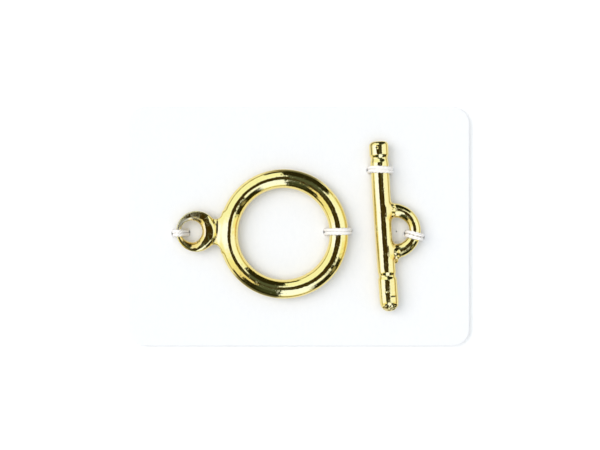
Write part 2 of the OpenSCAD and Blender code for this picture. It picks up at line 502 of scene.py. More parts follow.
# Frozen drops of solder at the loop's feet: place and radius
SOLDER_DROPS = [
    ((1.08, 2.25, 0.55), 0.24), ((1.0, 1.72, 0.55), 0.24), ((1.0, 1.2, 0.52), 0.2),
    ((1.05, -3.05, 0.5), 0.4), ((1.15, -3.6, 0.35), 0.36), ((1.0, -4.1, 0.2), 0.28),
]
# Small pits in the knobs: height above the lower tip, side, depth
KNOB_PITS = [(18.96, -0.28, 0.03), (2.2, -0.3, 0.03)]
PIT_SPREAD = 0.018
# A nick across the lower knob: height above the tip, side, half length, half width, depth
NICK = (1.74, 0.4, 0.3, 0.07, 0.03)
# How far above its end the tip is crumbly, and over what height that fades
CRUMBLY = (0.9, 0.45)

bar_swell = polish_swell(5, height=0.003, length=2.6)
tip_crumbs = polish_swell(41, height=0.045, length=0.42)


# %% The turned part of the bar
def bar_radius(height):
    radius = np.full_like(height, LOWER_KNOB_R)
    for (y0, r0), (y1, r1) in zip(BAR_STATIONS, BAR_STATIONS[1:]):
        share = np.clip((height - y0) / (y1 - y0), 0.0, 1.0)
        radius += (r1 - r0) * (1 - np.cos(math.pi * share)) / 2
    return radius


def buffed(across, up):
    """Distance from a wire's middle, whose upper side is buffed a little flat."""
    blunt = np.where(up > 0, BUFFED, 2.0)
    return (np.abs(across) ** blunt + np.abs(up) ** blunt) ** (1 / blunt)


def turned_bar(x, y, z):
    height = y + BAR_HALF
    up = np.maximum(z, 0.0)
    bow = (BOW_EVEN + BOW * (1 - (y / BAR_HALF) ** 2)) * (1 - up / SHAFT_R)
    across = buffed(x + bow + (CREST_SHIFT - CREST_DRIFT * y) * up, z)
    filed = FILED * np.exp(-((y - LOOP_PLACE[1]) / FILED_HALF) ** 4)
    across = across + filed * np.clip(x - FILED_FROM, 0.0, FILED_FADE) / FILED_FADE
    radius = bar_radius(height)
    body = rounded(across - radius + UPPER_RIM, height - 2 * BAR_HALF + UPPER_RIM, UPPER_RIM)
    below = np.maximum(DOME_H - height, 0.0)
    oval = np.maximum(np.hypot(across / LOWER_KNOB_R, below / DOME_H), 1e-6)
    pull = np.maximum(np.hypot(across / LOWER_KNOB_R ** 2, below / DOME_H ** 2), 1e-6)
    dome = (oval - 1) * oval / pull
    return np.where(height < DOME_H, dome, body)


# %% Formula of the bar
def bar_distance(points):
    x, y, z = points.T
    body = turned_bar(x, y, z)
    for height, side, depth in KNOB_PITS:
        spot = (y + BAR_HALF - height) ** 2 + (x - side) ** 2
        body = body + np.where(z > 0, depth * np.exp(-spot / PIT_SPREAD), 0.0)
    nick_height, nick_side, half_long, half_wide, deep = NICK
    nick = np.exp(-((y + BAR_HALF - nick_height) / half_wide) ** 2 - ((x - nick_side) / half_long) ** 4)
    body = body + np.where(z > 0, deep * nick, 0.0)
    loop_x, loop_y = x - LOOP_PLACE[0], y - LOOP_PLACE[1]
    lean = np.abs(np.arctan2(loop_y, loop_x))
    wire_r = LOOP_WIRE_R + LEG_SOLDER * np.clip(lean - 0.9, 0.0, 1.0) ** 2
    outward = np.hypot(loop_x, loop_y) - LOOP_MID
    outward = np.where(outward < 0, outward / (1 + INNER_SOLDER * np.sin(lean) ** 2), outward)
    loop = np.maximum(buffed(outward, z) - wire_r, LOOP_START - x)
    joined = soft_union(body, loop, FOOT_FILLET)
    for place, radius in SOLDER_DROPS:
        drop = np.linalg.norm(points - np.array(place), axis=1) - radius
        joined = soft_union(joined, drop, DROP_FILLET)
    near_tip = np.clip((CRUMBLY[0] - BAR_HALF - y) / CRUMBLY[1], 0.0, 1.0)
    return joined + bar_swell(points) + near_tip * tip_crumbs(points)


# %% Grow the bar
bar_casting, bar_points = make_casting(
    "bar_casting", bar_distance, (-1.3, -10.05, -1.3), (4.5, 10.05, 1.3), 0.075, BAR_PLACE, BAR_LEAN)

# %% [markdown]
# ## The four places where the clasp is sewn down
#
# Each tie crosses the metal square to its wire. One list gives the point crossed, the
# direction, the metal's half width and half height there, and how far the needle holes
# lie on each side. The card's holes and the thread's path both come from it, so they
# can't drift apart.

# %% Where the ties go
def at(place, turn, reach):
    return place[:2] + reach * np.array([math.cos(turn), math.sin(turn)])


eye_middle = at(RING_PLACE, math.pi + RING_TURN, EYE_REACH)
loop_middle = BAR_PLACE[:2] + turned(LOOP_PLACE, BAR_LEAN)
eye_way = math.radians(187) + RING_TURN
ring_way = math.radians(2.5)
loop_way = math.radians(-12)
bar_way = math.radians(-1.02)
bar_up = BAR_PLACE[:2] + turned(np.array([0.0, 6.56]), BAR_LEAN)

# Name: point crossed, direction, half width, half height, reach back, reach on, spread of strands
TIES = {
    "eye_tie": (at(eye_middle, eye_way, 2.1), eye_way, 0.25, 0.66, 0.95, 0.70, 0.85),
    "ring_tie": (at(RING_PLACE, ring_way, RING_MID), ring_way, WIRE_R, WIRE_R, 1.50, 1.32, 0.84),
    "bar_tie": (bar_up, bar_way, SHAFT_R, SHAFT_R, 1.27, 1.27, 0.84),
    "loop_tie": (at(loop_middle, loop_way, LOOP_MID), loop_way, LOOP_WIRE_R, LOOP_WIRE_R,
                 0.85, 1.05, 0.98),
}
for name, (point, way, *_) in TIES.items():
    print(name, "crosses at", point.round(2), "mm, towards", round(math.degrees(way)), "degrees")

# %% [markdown]
# ## The card
#
# A white card, die-cut with rounded corners. The needle has gone through it eight times
# for the ties and once by mistake, inside the loop, and the thread's back runs have
# pressed troughs in its underside. A plate with booleans would shade badly, so the card is
# built loop by loop: each rim is a stack of closed loops, and the flat faces are filled
# between them.

# %% Sizes of the card and its holes
CARD_HALF = (20.0, 14.0)
CORNER_R = 2.0
NEEDLE_ALONG = 0.26
NEEDLE_ACROSS = 0.45
PRICK_R = 0.18
PRICK_PLACE = loop_middle + turned(np.array([0.44, -0.1]), BAR_LEAN)
TROUGH_TOP = 0.5
# Profiles as offset and height: the card's rim, a needle hole, a trough's wall, the prick
RIM = [(0.3, 1.0), (0.12, 1.0), (0.05, 0.98), (0.012, 0.94), (0.0, 0.86),
       (0.0, 0.14), (0.012, 0.06), (0.05, 0.02), (0.12, 0.0), (0.3, 0.0)]
LIP = [(0.2, 1.0), (0.12, 1.008), (0.06, 1.012), (0.025, 1.0),
       (0.0, 0.95), (0.0, 0.7), (0.0, TROUGH_TOP)]
TROUGH = [(0.16, 0.0), (0.09, 0.0), (0.05, 0.02), (0.02, 0.08), (0.015, 0.3), (0.015, TROUGH_TOP)]
PRICK = [(0.16, 1.0), (0.08, 1.01), (0.0, 1.0), (-0.07, 0.97),
         (-0.12, 0.9), (-0.12, 0.3), (-0.06, 0.04), (0.0, 0.0)]


# %% Holes and outlines
def pierced(middle, way, along, across, height, count=28):
    """Loop of a pierced hole, along and across the tie that it takes."""
    turns = np.arange(count) * 2 * math.pi / count
    oval = np.stack([along * np.cos(turns), across * np.sin(turns), np.full(count, height)], axis=1)
    return [tuple(p) for p in turned(oval, way) + np.array([middle[0], middle[1], 0.0])]


def arc(middle, radius, height, first, span, count):
    turns = [first + span * step / count for step in range(count + 1)]
    return [(middle[0] + radius * math.cos(t), middle[1] + radius * math.sin(t), height) for t in turns]


def card_outline(inset, height):
    points = []
    for quarter, sides in enumerate(((1, 1), (-1, 1), (-1, -1), (1, -1))):
        middle = [side * (half - CORNER_R) for side, half in zip(sides, CARD_HALF)]
        points += arc(middle, CORNER_R - inset, height, math.pi / 2 * quarter, math.pi / 2, 12)
    return points


def trough_outline(start, end, radius, height):
    """Outline of the trough round a pair of needle holes: straight sides, round ends."""
    way = math.atan2(end[1] - start[1], end[0] - start[0])
    return [*arc(end, radius, height, way - math.pi / 2, math.pi, 14),
            *arc(start, radius, height, way + math.pi / 2, math.pi, 14)]


# %% Stack and fill loops
def loop_edges(bm, points):
    corners = [bm.verts.new(Vector(p) * MM) for p in points]
    return corners, [bm.edges.new((a, b)) for a, b in zip(corners, corners[1:] + corners[:1])]


def stack(bm, rows):
    """Join closed loops of equal length by quads, and return the edges of the first and last."""
    made = [loop_edges(bm, row) for row in rows]
    for (lower, _), (upper, _) in zip(made, made[1:]):
        for i, (a, b) in enumerate(zip(lower, upper)):
            j = (i + 1) % len(lower)
            bm.faces.new((a, lower[j], upper[j], b)).smooth = True
    return made[0][1], made[-1][1]


def fill_flat(bm, loops):
    edges = [edge for loop in loops for edge in loop]
    bmesh.ops.triangle_fill(bm, edges=edges, use_beauty=True)


# %% Build the card
def build_card():
    bm = bmesh.new()
    top_edge, under_edge = stack(bm, [card_outline(i, h) for i, h in RIM])
    top_loops, under_loops = [top_edge], [under_edge]
    for point, way, _, _, back, on, _ in TIES.values():
        ends = [at(point, way, -back), at(point, way, on)]
        floor_loops = []
        for end in ends:
            hole = [pierced(end, way, NEEDLE_ALONG + r, NEEDLE_ACROSS + r, h) for r, h in LIP]
            high_edge, low_edge = stack(bm, hole)
            top_loops.append(high_edge)
            floor_loops.append(low_edge)
        trough = [trough_outline(*ends, NEEDLE_ACROSS + r, h) for r, h in TROUGH]
        mouth_edge, floor_edge = stack(bm, trough)
        under_loops.append(mouth_edge)
        fill_flat(bm, [floor_edge, *floor_loops])
    prick = [pierced(PRICK_PLACE, 0.0, PRICK_R + r, PRICK_R + r, h) for r, h in PRICK]
    prick_top, prick_under = stack(bm, prick)
    fill_flat(bm, [*top_loops, prick_top])
    fill_flat(bm, [*under_loops, prick_under])
    bmesh.ops.recalc_face_normals(bm, faces=bm.faces)
    mesh = bpy.data.meshes.new("needle_card")
    bm.to_mesh(mesh)
    bm.free()
    print("needle_card", len(mesh.polygons), "faces")
    return link_object("needle_card", mesh)


needle_card = build_card()

# %% [markdown]
# ## The thread
#
# Sewing thread is three fine plies twisted together, and each tie is two strands side by
# side. A strand is pulled tight, so it takes the shortest way over the metal, which is the
# upper convex hull of the wire's section and the two holes. Below the card it runs back in
# its trough and closes on itself. A bevelled curve would be one smooth cord, so the plies
# are tubes wound round this path, which shows the twist.

# %% Path of one strand
THREAD_R = 0.225
PATH_STEP = 0.06
UNDER_Z = 0.25


def upper_hull(points):
    hull = []
    for p in sorted(points):
        while len(hull) > 1:
            (ax, ay), (bx, by) = hull[-2], hull[-1]
            if (bx - ax) * (p[1] - ay) - (by - ay) * (p[0] - ax) < 0:
                break
            hull.pop()
        hull.append(p)
    return hull


def tie_path(half_width, half_height, back, on):
    """Closed path of a strand in the tie's own plane, as (along, height), evenly spaced."""
    wide, high = half_width + THREAD_R, half_height + THREAD_R
    turns = np.radians(np.arange(-60, 241, 5))
    over = [(wide * math.cos(t), METAL_LEVEL + high * math.sin(t)) for t in turns]
    above = upper_hull([(-back, CARD_T), (on, CARD_T), *[p for p in over if p[1] > METAL_LEVEL]])
    below = [(on, CARD_T), (on, UNDER_Z)]
    corners = np.array([(on, UNDER_Z), (-back, UNDER_Z), (-back, CARD_T), *above, *below])
    keep = np.r_[True, np.hypot(*np.diff(corners, axis=0).T) > 1e-6]
    corners = corners[keep]
    length = np.r_[0.0, np.cumsum(np.hypot(*np.diff(corners, axis=0).T))]
    count = int(length[-1] / PATH_STEP)
    even = np.arange(count) * length[-1] / count
    path = np.stack([np.interp(even, length, corners[:, k]) for k in (0, 1)], axis=1)
    for _ in range(8):
        path = (np.roll(path, 1, axis=0) + 2 * path + np.roll(path, -1, axis=0)) / 4
    return path


# %% Wind the plies
PLIES = 3
PLY_R = 0.115
PLY_OUT = 0.115
TWIST_PITCH = 1.35
SIDES = 8


def wound_plies(path, side_shift, lag):
    """Points of the plies' tubes in the tie's plane frame: along, across, height."""
    ahead = unit(np.roll(path, -1, axis=0) - np.roll(path, 1, axis=0))
    count = len(path)
    turns = round(count * PATH_STEP / TWIST_PITCH)
    tubes = []
    for ply in range(PLIES):
        twist = 2 * math.pi * (turns * np.arange(count) / count + ply / PLIES) + lag
        rings = []
        for side in range(SIDES):
            t = 2 * math.pi * side / SIDES
            out = PLY_OUT * np.cos(twist) + PLY_R * np.cos(twist + t)
            across = side_shift + PLY_OUT * np.sin(twist) + PLY_R * np.sin(twist + t)
            ring = [path[:, 0] - ahead[:, 1] * out, across, path[:, 1] + ahead[:, 0] * out]
            rings.append(np.stack(ring, axis=1))
        tubes.append(np.stack(rings, axis=1))
    return tubes


def tube_faces(count, sides, start, closed=True):
    rows = range(count if closed else count - 1)
    return [(start + i * sides + j, start + i * sides + (j + 1) % sides,
             start + (i + 1) % count * sides + (j + 1) % sides, start + (i + 1) % count * sides + j)
            for i in rows for j in range(sides)]


# %% Loose fibres
FIBRES = 46
FIBRE_R = 0.009


def loose_fibres(path, side_shift, dice):
    """Fine hairs that stand off a strand: open tubes of three sides, five points long."""
    hairs = []
    for _ in range(FIBRES):
        start = dice.integers(len(path))
        if path[start, 1] < CARD_T + 0.1:
            continue
        turn = dice.uniform(0, 2 * math.pi)
        inward = path[start] - path.mean(axis=0)
        inward /= np.linalg.norm(inward)
        drift = dice.normal(size=3) * 0.09
        spine = []
        for step in range(5):
            reach = THREAD_R * 0.8 + 0.05 * step * dice.uniform(0.4, 1.2)
            along, height = path[(start + step * 2) % len(path)] + inward * reach * math.sin(turn)
            stem = np.array([along, side_shift + reach * math.cos(turn), height])
            spine.append(stem + drift * (step / 4) ** 2)
        ring = FIBRE_R * np.array([[0, 1, 0], [0.8, -0.5, 0.3], [-0.8, -0.5, -0.3]])
        hairs.append(np.stack([p + ring * (1 - step / 5) for step, p in enumerate(spine)]))
    return hairs


# %% Sew the ties
def sew(name, seed):
    point, way, half_width, half_height, back, on, spread = TIES[name]
    dice = np.random.default_rng(seed)
    path = tie_path(half_width, half_height, back, on)
    points, faces = [], []
    for side in (-1, 1):
        rise = np.clip((path[:, 1] - CARD_T) / 0.8, 0.0, 1.0)
        shift = side * THREAD_R * (1 + (spread - 1) * rise)
        for tube in wound_plies(path, shift, dice.uniform(0, 6)):
            faces += tube_faces(len(path), SIDES, sum(len(p) for p in points))
            points.append(tube.reshape(-1, 3))
        for hair in loose_fibres(path, side * THREAD_R, dice):
            faces += tube_faces(5, 3, sum(len(p) for p in points), closed=False)
            points.append(hair.reshape(-1, 3))
    points = np.concatenate(points)
    flat = turned(points, way)
    flat[:, :2] += point
    return make_piece(name, flat, faces)


ties = [sew(name, seed) for seed, name in enumerate(TIES, start=3)]

# %% [markdown]
# ## Shared effects
#
# Three effects turn up in more than one finish, so each is a node group with named
# sockets, built once. *Polish ripple* gives the fine orange-peel of buffed plating as a
# height. *Plating tone* deepens the gold in hollows and on steep flanks, which is painted
# shade, greys it where it has rubbed, blackens it where polishing paste has stayed, and
# says how dull it is. *Fibre grain* gives the matted surface of paper and of spun thread
# as a height and a mask. The groups put out values and colours, and each material has its
# own shader.

# %% Build a group
def new_group(name, inputs, outputs):
    group = bpy.data.node_groups.new(name, "ShaderNodeTree")
    for title, kind, value in inputs:
        made = group.interface.new_socket(name=title, in_out="INPUT", socket_type=kind)
        if value is not None:
            made.default_value = value
    for title, kind in outputs:
        group.interface.new_socket(name=title, in_out="OUTPUT", socket_type=kind)
    print("group", name, "takes", ", ".join(title for title, _, _ in inputs))
    return group, add_node(group, "NodeGroupInput").outputs, add_node(group, "NodeGroupOutput").inputs


def use_group(tree, group, **values):
    return plug(tree, add_node(tree, "ShaderNodeGroup", node_tree=group), **values)


FLOAT, COLOUR, VECTOR = "NodeSocketFloat", "NodeSocketColor", "NodeSocketVector"

# %% Polish ripple
ripple_group, given, result = new_group(
    "Polish ripple",
    [("Position", VECTOR, None), ("Swell", FLOAT, 900.0), ("Pores", FLOAT, 0.2)],
    [("Height", FLOAT)])
swells = noise(ripple_group, given["Position"], given["Swell"], detail=3.0)
cells = add_node(ripple_group, "ShaderNodeTexVoronoi")
pores = plug(ripple_group, cells, Vector=given["Position"], Scale=1400.0)
rim = soft_step(ripple_group, pores["Distance"], 0.02, 0.16)
height = calc(ripple_group, "MULTIPLY", calc(ripple_group, "SUBTRACT", 1.0, rim), given["Pores"])
feed(ripple_group, result["Height"], calc(ripple_group, "SUBTRACT", swells, height))

# %% Plating tone, with painted shade in hollows and on flanks
tone_and_shade_group, given, result = new_group(
    "Plating tone",
    [("Position", VECTOR, None),
     *((title, COLOUR, (1.0, 1.0, 1.0, 1.0)) for title in ("Bright", "Deep", "Grey", "Black")),
     *((title, FLOAT, 0.0) for title in ("Hollow", "Flank", "Rubbed", "Paste", "Cloud", "Speckle"))],
    [("Color", COLOUR), ("Dulled", FLOAT)])
cloudy = noise(tone_and_shade_group, given["Position"], scale=260.0, detail=4.0)
cloud = calc(tone_and_shade_group, "MULTIPLY", soft_step(tone_and_shade_group, cloudy, 0.42, 0.72), given["Cloud"])
# Hollows and steep flanks get the deeper gold as painted shade, cloudy patches as a tone of the plating
dulled = calc(tone_and_shade_group, "MAXIMUM", given["Hollow"], cloud, clamp=True)
deep = calc(tone_and_shade_group, "MAXIMUM", dulled, given["Flank"])
tone = mix_colour(tone_and_shade_group, deep, given["Bright"], given["Deep"])
patchy = noise(tone_and_shade_group, given["Position"], scale=1500.0, detail=3.0)
rubbed = calc(tone_and_shade_group, "MULTIPLY", soft_step(tone_and_shade_group, patchy, 0.25, 0.6), given["Rubbed"])
tone = mix_colour(tone_and_shade_group, rubbed, tone, given["Grey"])
feed(tone_and_shade_group, result["Color"], mix_colour(tone_and_shade_group, given["Paste"], tone, given["Black"]))
specks = noise(tone_and_shade_group, given["Position"], scale=2600.0, detail=4.0, roughness=0.6)
speckle = calc(tone_and_shade_group, "MULTIPLY", soft_step(tone_and_shade_group, specks, 0.5, 0.8), given["Speckle"])
dulled = calc(tone_and_shade_group, "MULTIPLY_ADD", rubbed, 1.8, dulled)
feed(tone_and_shade_group, result["Dulled"], calc(tone_and_shade_group, "ADD", speckle, dulled))

# %% Fibre grain
fibre_group, given, result = new_group(
    "Fibre grain",
    [("Position", VECTOR, None), ("Fineness", FLOAT, 1500.0), ("Stretch", VECTOR, (1.0, 1.0, 1.0))],
    [("Height", FLOAT), ("Fleck", FLOAT)])
stretched = add_node(fibre_group, "ShaderNodeVectorMath", operation="MULTIPLY")
feed(fibre_group, stretched.inputs[0], given["Position"])
feed(fibre_group, stretched.inputs[1], given["Stretch"])
felt = noise(fibre_group, stretched.outputs[0], given["Fineness"], detail=4.0, distortion=1.2)
feed(fibre_group, result["Height"], felt)
feed(fibre_group, result["Fleck"], soft_step(fibre_group, felt, 0.35, 0.7))

# %% [markdown]
# ## Mirror gold
#
# Bright gold plating over polished brass is a metal with hardly any roughness. Its colour
# is that of its reflections, so the tones in the picture come from the light. Wear, dirt
# and shade could be painted in an image. But they follow the form, so they are stored on
# the mesh as values for each vertex, which the material reads as attributes. *hollow* is
# where a buffing wheel can't reach: the metal is duller there, and its deeper gold is
# painted shade. *flank* is the steep side, where the deeper gold is painted shade for the
# darker surroundings that it mirrors. *rubbed* is where pieces have knocked together or
# were never polished, and *paste* is black paste left in a seam.

# %% Mark the hollows and flanks, for dullness and painted shade
HOLLOW_FULL = 0.35
FLANK_LEVEL = 0.76
FLANK_FADE = 0.3
FLANK_MOST = 0.6


def keep_values(piece, title, values):
    layer = piece.data.attributes.new(title, "FLOAT", "POINT")
    layer.data.foreach_set("value", values.astype(np.float32))
    print(piece.name, title, "on a share of", round(float((values > 0.3).mean()), 3))


def mark_hollows(piece, points, distance, reach):
    """Store how steep the surface is, and how hollow: how much metal stands in front of it."""
    slope = unit(slope_of(distance, points))
    # A steep side mirrors darker surroundings, so its gold is deepened as painted shade
    steep = np.clip((FLANK_LEVEL - slope[:, 2]) / FLANK_FADE, 0.0, 1.0)
    keep_values(piece, "flank", FLANK_MOST * steep)
    # Where metal stands in front, the metal is duller and its gold is deepened as painted shade
    ahead = points + slope * reach
    keep_values(piece, "hollow", np.clip((1 - distance(ahead) / reach) / HOLLOW_FULL, 0.0, 1.0))


mark_hollows(ring_casting, ring_points, ring_distance, reach=0.15)
mark_hollows(bar_casting, bar_points, bar_distance, reach=0.35)

# %% Mark the rubbed places
TOP_ONLY = 0.2
PASTE_REACH = 0.13
PASTE_FADE = 0.06
TIP_ROUGH = 0.75
TIP_FADE = 0.5

x, y, z = ring_points.T
# The eye's thin wall has rubbed on its neighbours in the plating barrel
eye_turn = np.degrees(np.arctan2(y, x + EYE_REACH)) % 360
on_eye = (x < EYE_R - EYE_REACH - 0.3) & (z > 0.3)
keep_values(ring_casting, "rubbed", on_eye * np.interp(eye_turn, (50, 120, 175, 200), (0, 1, 1, 0)))
# Black polishing paste has stayed in the seam between eye and neck
from_seam = np.hypot(x - SEAM_X, SEAM_TAPER * (y - SEAM_Y))
seam_paste = np.clip((PASTE_REACH - from_seam) / PASTE_FADE, 0.0, 0.95)
keep_values(ring_casting, "paste", (z > TOP_ONLY) * seam_paste)

x, y, z = bar_points.T
# The bar's lower tip is still as rough as it came from the mould
tip = np.clip((TIP_ROUGH - BAR_HALF - y) / TIP_FADE, 0.0, 1.0)
keep_values(bar_casting, "rubbed", 0.45 * tip)
# Paste has stayed in the nick too
in_nick = np.clip((0.1 - np.abs(y + BAR_HALF - NICK[0])) / 0.05, 0.0, 0.9)
in_nick = in_nick * (np.abs(x - NICK[1] + 0.03) < NICK[2])
keep_values(bar_casting, "paste", (z > TOP_ONLY) * in_nick)

# %% Mirror gold
GOLD_BRIGHT = (0.94, 0.86, 0.34, 1.0)
GOLD_DEEP = (0.90, 0.67, 0.22, 1.0)
GOLD_GREY = (0.72, 0.69, 0.42, 1.0)
PASTE_BLACK = (0.05, 0.035, 0.018, 1.0)


def new_material(name):
    material = bpy.data.materials.new(name)
    material.use_nodes = True
    tree = material.node_tree
    position = add_node(tree, "ShaderNodeTexCoord").outputs["Object"]
    return material, tree, tree.nodes["Principled BSDF"], position


def bumped(tree, shader, height, strength, distance):
    bump = add_node(tree, "ShaderNodeBump")
    made = plug(tree, bump, Strength=strength, Distance=distance, Height=height)
    plug(tree, shader, Normal=made["Normal"])


def gold_plate(name, swell, pores, cloud):
    material, tree, shader, position = new_material(name)
    # hollow and flank deepen the gold as painted shade; rubbed and paste are wear and dirt
    marks = {title: add_node(tree, "ShaderNodeAttribute", attribute_name=title.lower()).outputs["Fac"]
             for title in ("Hollow", "Flank", "Rubbed", "Paste")}
    tone = use_group(tree, tone_and_shade_group, Position=position, Bright=GOLD_BRIGHT, Deep=GOLD_DEEP,
                     Grey=GOLD_GREY, Black=PASTE_BLACK, Cloud=cloud, Speckle=1.8, **marks)
    rough = calc(tree, "MULTIPLY_ADD", tone["Dulled"], 0.16, 0.025)
    plug(tree, shader, Base_Color=tone["Color"], Roughness=rough, Metallic=1.0)
    ripple = use_group(tree, ripple_group, Position=position, Swell=swell, Pores=pores)
    bumped(tree, shader, ripple["Height"], strength=0.5, distance=0.000026)
    return material


ring_casting.data.materials.append(gold_plate("ring_gold", swell=1700.0, pores=0.12, cloud=0.10))
bar_casting.data.materials.append(gold_plate("bar_gold", swell=1900.0, pores=0.2, cloud=0.15))

# %% [markdown]
# ## Uncoated white card
#
# The card is plain pulp board. Close to, its face is a felt of short fibres with a faint
# cloudiness, and its cut edge is a little darker than its face. It scatters light evenly,
# so it needs no gloss: fine grain in the height, a faint fleck in the colour and a high
# roughness are enough.
#
# The gold mirrors the card, too. In the real tent the card was darker towards a gap, which
# the even soft light of this scene can't show. So for reflected rays alone a table of
# angles round the ring puts the farther card in shade, and the ring's dark stretches
# reach out to its edge.

# %% White card
CARD_COOL = (0.85, 0.86, 0.87, 1.0)
CARD_WARM = (0.88, 0.87, 0.87, 1.0)
CARD_FLECK = (0.82, 0.83, 0.84, 1.0)
CARD_CUT = (0.80, 0.79, 0.76, 1.0)
CARD_DARK = (0.05, 0.045, 0.02, 1.0)
SHADE_STARTS = 8.2
SHADE_FULL = 9.6
SHADE_DEPTH = 0.85
# Angle round the ring's middle in degrees, and the shade in which a mirror sees the card there
CARD_SHADE = [(0, 0), (50, 0), (60, 1), (95, 1), (112, 0),
              (216, 0), (224, 1), (262, 1), (267, 0), (360, 0)]


def shade_in_mirrors(tree, position):
    place = split(tree, position)
    x, y = (calc(tree, "SUBTRACT", place[axis], RING_PLACE[axis] * MM) for axis in (0, 1))
    shade = by_turn(tree, turn_of(tree, x, y), [(degrees, (dark,) * 3) for degrees, dark in CARD_SHADE])
    far = soft_step(tree, length_of(tree, x, y), SHADE_STARTS * MM, SHADE_FULL * MM)
    mirrored = add_node(tree, "ShaderNodeLightPath").outputs["Is Glossy Ray"]
    depth = calc(tree, "MULTIPLY", mirrored, SHADE_DEPTH)
    return calc(tree, "MULTIPLY", calc(tree, "MULTIPLY", shade, far), depth)


def white_card():
    material, tree, shader, position = new_material("white_card")
    grain = use_group(tree, fibre_group, Position=position, Fineness=2600.0, Stretch=(1.0, 0.45, 1.0))
    cloudy = noise(tree, position, scale=180.0, detail=3.0)
    normal = split(tree, add_node(tree, "ShaderNodeNewGeometry").outputs["True Normal"])
    edge = soft_step(tree, calc(tree, "ABSOLUTE", normal["Z"]), 0.6, 0.2)
    face = mix_colour(tree, calc(tree, "MULTIPLY", cloudy, 0.5), CARD_COOL, CARD_WARM)
    face = mix_colour(tree, calc(tree, "MULTIPLY", grain["Fleck"], 0.35), face, CARD_FLECK)
    face = mix_colour(tree, edge, face, CARD_CUT)
    face = mix_colour(tree, shade_in_mirrors(tree, position), face, CARD_DARK)
    plug(tree, shader, Base_Color=face, Roughness=0.85, Specular_IOR_Level=0.25)
    bumped(tree, shader, grain["Height"], strength=0.35, distance=0.00004)
    return material


needle_card.data.materials.append(white_card())

# %% [markdown]
# ## White sewing thread
#
# Spun thread is soft and white with the least trace of pink. Stray fibres catch the light
# at its rim. Light under the surface could be computed too, but some sheen is enough at
# this size. The fibre grain is stretched along the strand's run over the metal.

# %% White thread
THREAD_WHITE = (0.99, 0.96, 0.92, 1.0)
THREAD_SHADOW = (0.96, 0.92, 0.87, 1.0)


def white_thread():
    material, tree, shader, position = new_material("white_thread")
    grain = use_group(tree, fibre_group, Position=position, Fineness=5200.0, Stretch=(0.4, 1.0, 0.6))
    colour = mix_colour(tree, grain["Fleck"], THREAD_WHITE, THREAD_SHADOW)
    plug(tree, shader, Base_Color=colour, Roughness=0.75, Sheen_Weight=0.5, Sheen_Roughness=0.4)
    bumped(tree, shader, grain["Height"], strength=0.5, distance=0.00003)
    return material


thread_finish = white_thread()
for tie in ties:
    tie.data.materials.append(thread_finish)

# %% [markdown]
# ## The table
#
# The card lies on a plain pale table. It takes no part in the object, so it is marked as
# stage. Its top is a hair below the card's underside. Steep metal mirrors the table far
# out, where a photographer's table has ended and the dim room begins. So for reflected
# rays alone the table is painted in shade: tan, and nearly black towards the gaps of the tent.

# %% Lay the table
# Painted shade of the table, seen by reflected rays alone
TAN = (0.30, 0.22, 0.11)
SHADE = (0.03, 0.032, 0.014)
# Angle round the object in degrees, and the painted shade in which a mirror sees the table there
TABLE_SEEN = [
    (0, TAN), (38, TAN), (45, SHADE), (92, SHADE), (99, TAN), (220, TAN), (228, SHADE),
    (262, SHADE), (268, TAN), (297, TAN), (304, SHADE), (332, SHADE), (340, TAN), (360, TAN),
]
TABLE_HALF = 900.0
TABLE_TOP = -0.02


def pale_table():
    material, tree, shader, position = new_material("pale_table")
    grain = use_group(tree, fibre_group, Position=position, Fineness=900.0)
    colour = mix_colour(tree, grain["Fleck"], (0.99, 0.99, 0.99, 1.0), (0.98, 0.98, 0.98, 1.0))
    place = split(tree, position)
    table_shade_for_mirrors = by_turn(tree, turn_of(tree, place["X"], place["Y"]), TABLE_SEEN)
    # Reflected rays see the painted shade instead of the pale table
    mirrored = add_node(tree, "ShaderNodeLightPath").outputs["Is Glossy Ray"]
    seen = mix_colour(tree, mirrored, colour, table_shade_for_mirrors)
    plug(tree, shader, Base_Color=seen, Roughness=0.9)
    return material


sides = ((-1, -1), (1, -1), (1, 1), (-1, 1))
corners = [(x * TABLE_HALF, y * TABLE_HALF, TABLE_TOP) for x, y in sides]
table = make_piece("table", corners, [(0, 1, 2, 3)], smooth=False)
table.data.materials.append(pale_table())
table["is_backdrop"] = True

# %% [markdown]
# ## The light tent
#
# A mirror shows its surroundings, and those of the photograph can be read back from the
# ring, which reflects every direction once on its inner and once on its outer slope. They
# are a white tent with three dark gaps, and the dark camera overhead. Softboxes could be
# placed for this, but from a lower view they would stand in the picture. A world shader
# has no such trouble: it paints the tent by direction, as the angle round the object and
# the angle down from straight above. A little noise frays the edges of the gaps.

# %% Directions of the tent
world = bpy.data.worlds.new("light_tent")
bpy.context.scene.world = world
world.use_nodes = True
tent = world.node_tree
tent.nodes.clear()
direction = add_node(tent, "ShaderNodeTexCoord").outputs["Generated"]
ray_way = split(tent, direction)
down = calc(tent, "DEGREES", calc(tent, "ARCCOSINE", ray_way["Z"]))
creases = noise(tent, direction, scale=8.0, detail=5.0, roughness=0.65)
ragged = calc(tent, "MULTIPLY_ADD", creases, 0.05, -0.025)
around = turn_of(tent, ray_way["X"], ray_way["Y"], ragged)

# %% [markdown]
# ## Walls of the tent
#
# One table of colours by angle isn't enough, because the gaps are wider at the foot of
# the tent than at its crown, and the cloth glows warmer low down. So there are three
# tables, for crown, wall and foot, which blend into each other on the way down. Just
# above the horizon all of it takes a rusty cast.

# %% Colours of the cloth and the gaps
DARK = (0.022, 0.019, 0.006)
DUSK = (0.085, 0.100, 0.085)
WHITE = (1.06, 1.10, 1.45)
CREAM = (1.02, 1.06, 1.10)
WARM = (0.98, 0.95, 0.70)
DIM = (0.86, 0.80, 0.62)
BRILLIANT = (1.15, 1.20, 2.20)
RUST = (0.52, 0.40, 0.24)
COPPER = (0.85, 0.58, 0.30)
AMBER = (0.94, 0.80, 0.58)
HAZE = (0.30, 0.27, 0.18)
MOSS = (0.045, 0.052, 0.030)
SILVER = (1.12, 1.19, 1.95)

